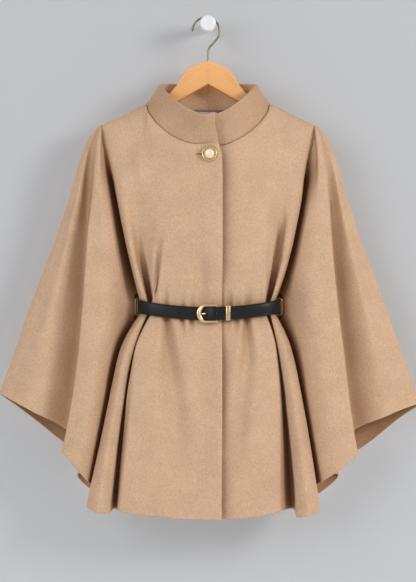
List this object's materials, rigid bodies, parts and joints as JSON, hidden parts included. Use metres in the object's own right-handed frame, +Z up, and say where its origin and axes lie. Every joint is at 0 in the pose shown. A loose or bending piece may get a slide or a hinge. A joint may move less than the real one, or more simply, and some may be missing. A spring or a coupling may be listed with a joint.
{
  "type": "belted cape jacket on hanger",
  "caption": "Belted wool cape jacket with a stand collar and open cape sleeves, on a wooden hanger whose wire hook hangs on a wall peg.",
  "frame": {"origin": "centre of the wall peg's back face, on the wall", "axes": "+Z up, +Y into the wall, +X to the right as seen from the front; the jacket's front faces -Y"},
  "size_m": [0.8174, 0.1523, 0.9647],
  "materials": {
    "wool": "felted camel wool",
    "label_satin": "plain grey satin",
    "belt_leather": "smooth black leather",
    "gold": "polished pale gold",
    "pearl": "pearl gloss",
    "hanger_wood": "satin varnish",
    "hook_wire": "antique wire",
    "peg_white": "white paint"
  },
  "bodies": {
    "root": {"front_right": "wool", "front_left": "wool", "back": "wool", "wing_right": "wool", "wing_left": "wool", "collar_right": "wool", "collar_left": "wool", "label": "label_satin", "belt_strap": "belt_leather", "button_rim": "gold", "buckle_frame": "gold", "buckle_bar": "gold", "buckle_prong": "gold", "belt_keeper": "gold", "belt_ring_right": "gold", "belt_ring_left": "gold", "button_pearl": "pearl", "hanger_wood": "hanger_wood", "hanger_hook": "hook_wire", "wall_peg": "peg_white"}
  },
  "joints": []
}
